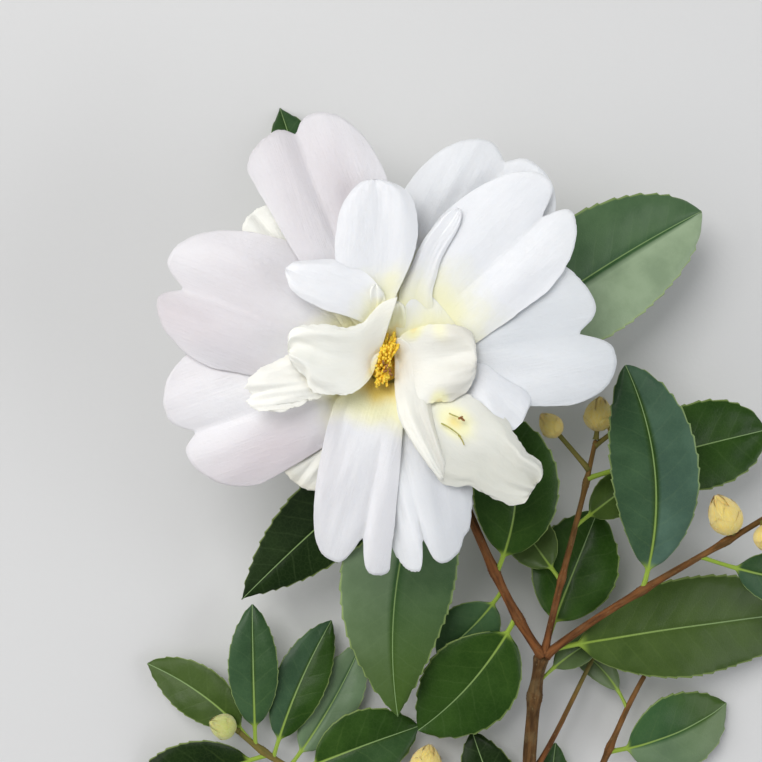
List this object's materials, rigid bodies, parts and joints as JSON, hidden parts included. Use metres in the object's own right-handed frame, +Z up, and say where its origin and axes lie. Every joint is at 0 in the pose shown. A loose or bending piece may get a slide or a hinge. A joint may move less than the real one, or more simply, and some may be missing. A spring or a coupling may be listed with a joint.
{
  "type": "cut flowering camellia branch",
  "caption": "Cut camellia branch lying down, with one large open white double bloom, side stems, toothed evergreen leaves and scaly buds.",
  "frame": {"origin": "centre of the branch's footprint, on the level surface it lies on", "axes": "+Y from the cut end of the main stem towards the bloom, +Z up, the way the open bloom faces, +X to the right seen from above"},
  "size_m": [0.147, 0.18, 0.0441],
  "materials": {
    "leaf_dark": "satin, very dark green leaf",
    "leaf_mid": "glossy mid green leaf",
    "leaf_blue": "glossy leaf with a blue-green sheen",
    "leaf_olive": "satin olive green leaf",
    "old_bark": "grey-brown bark with fine cracks",
    "calyx": "dull green-brown scales",
    "young_bark": "red-brown young bark",
    "bud_green": "silky pale green scales",
    "stamen": "golden yellow stamens",
    "bud_cream": "silky cream yellow scales",
    "petal_white": "soft matte white petal with a faint lavender shade",
    "petal_cream": "soft matte cream petal"
  },
  "bodies": {
    "root": {"main_stem": "old_bark", "right_stem": "young_bark", "bloom_stem": "young_bark", "middle_stem": "young_bark", "lower_left_stem": "young_bark", "lower_right_stem": "young_bark", "back_stem": "young_bark", "bud_low_left": "bud_green", "bud_low_middle": "bud_cream", "bud_middle_left": "bud_cream", "bud_middle_right": "bud_cream", "bud_middle_back": "bud_cream", "bud_right": "bud_cream", "bud_right_far": "bud_cream", "leaf_bloom_right": "leaf_blue", "leaf_bloom_top": "leaf_mid", "leaf_bloom_left": "leaf_dark", "leaf_bloom_below": "leaf_blue", "leaf_fork_left": "leaf_mid", "leaf_fork_under": "leaf_blue", "leaf_stem_right": "leaf_mid", "leaf_upright": "leaf_mid", "leaf_far_right": "leaf_mid", "leaf_right_large": "leaf_olive", "leaf_middle_under": "leaf_mid", "leaf_middle_small": "leaf_olive", "leaf_middle_right": "leaf_olive", "leaf_fork_small": "leaf_olive", "leaf_low_hidden": "leaf_olive", "leaf_low_right": "leaf_blue", "leaf_right_edge": "leaf_mid", "leaf_low_tip": "leaf_mid", "leaf_low_middle": "leaf_dark", "leaf_left_upright": "leaf_mid", "leaf_left_slim": "leaf_mid", "leaf_left_pale": "leaf_blue", "leaf_left_wide": "leaf_mid", "leaf_left_floor": "leaf_dark", "leaf_left_outer": "leaf_olive", "petal_back_left": "petal_cream", "petal_back_low": "petal_cream", "petal_back_top": "petal_white", "petal_left_low": "petal_white", "petal_right": "petal_white", "petal_low_middle": "petal_white", "petal_left_top": "petal_white", "petal_low_left": "petal_white", "petal_top_right": "petal_white", "petal_top_left": "petal_white", "petaloid_left_low": "petal_cream", "petal_low_right": "petal_cream", "petal_inner_top": "petal_white", "petaloid_right": "petal_cream", "petaloid_top": "petal_white", "petaloid_top_left": "petal_white", "petaloid_left": "petal_cream", "calyx": "calyx", "stamens": "stamen"}
  },
  "joints": []
}
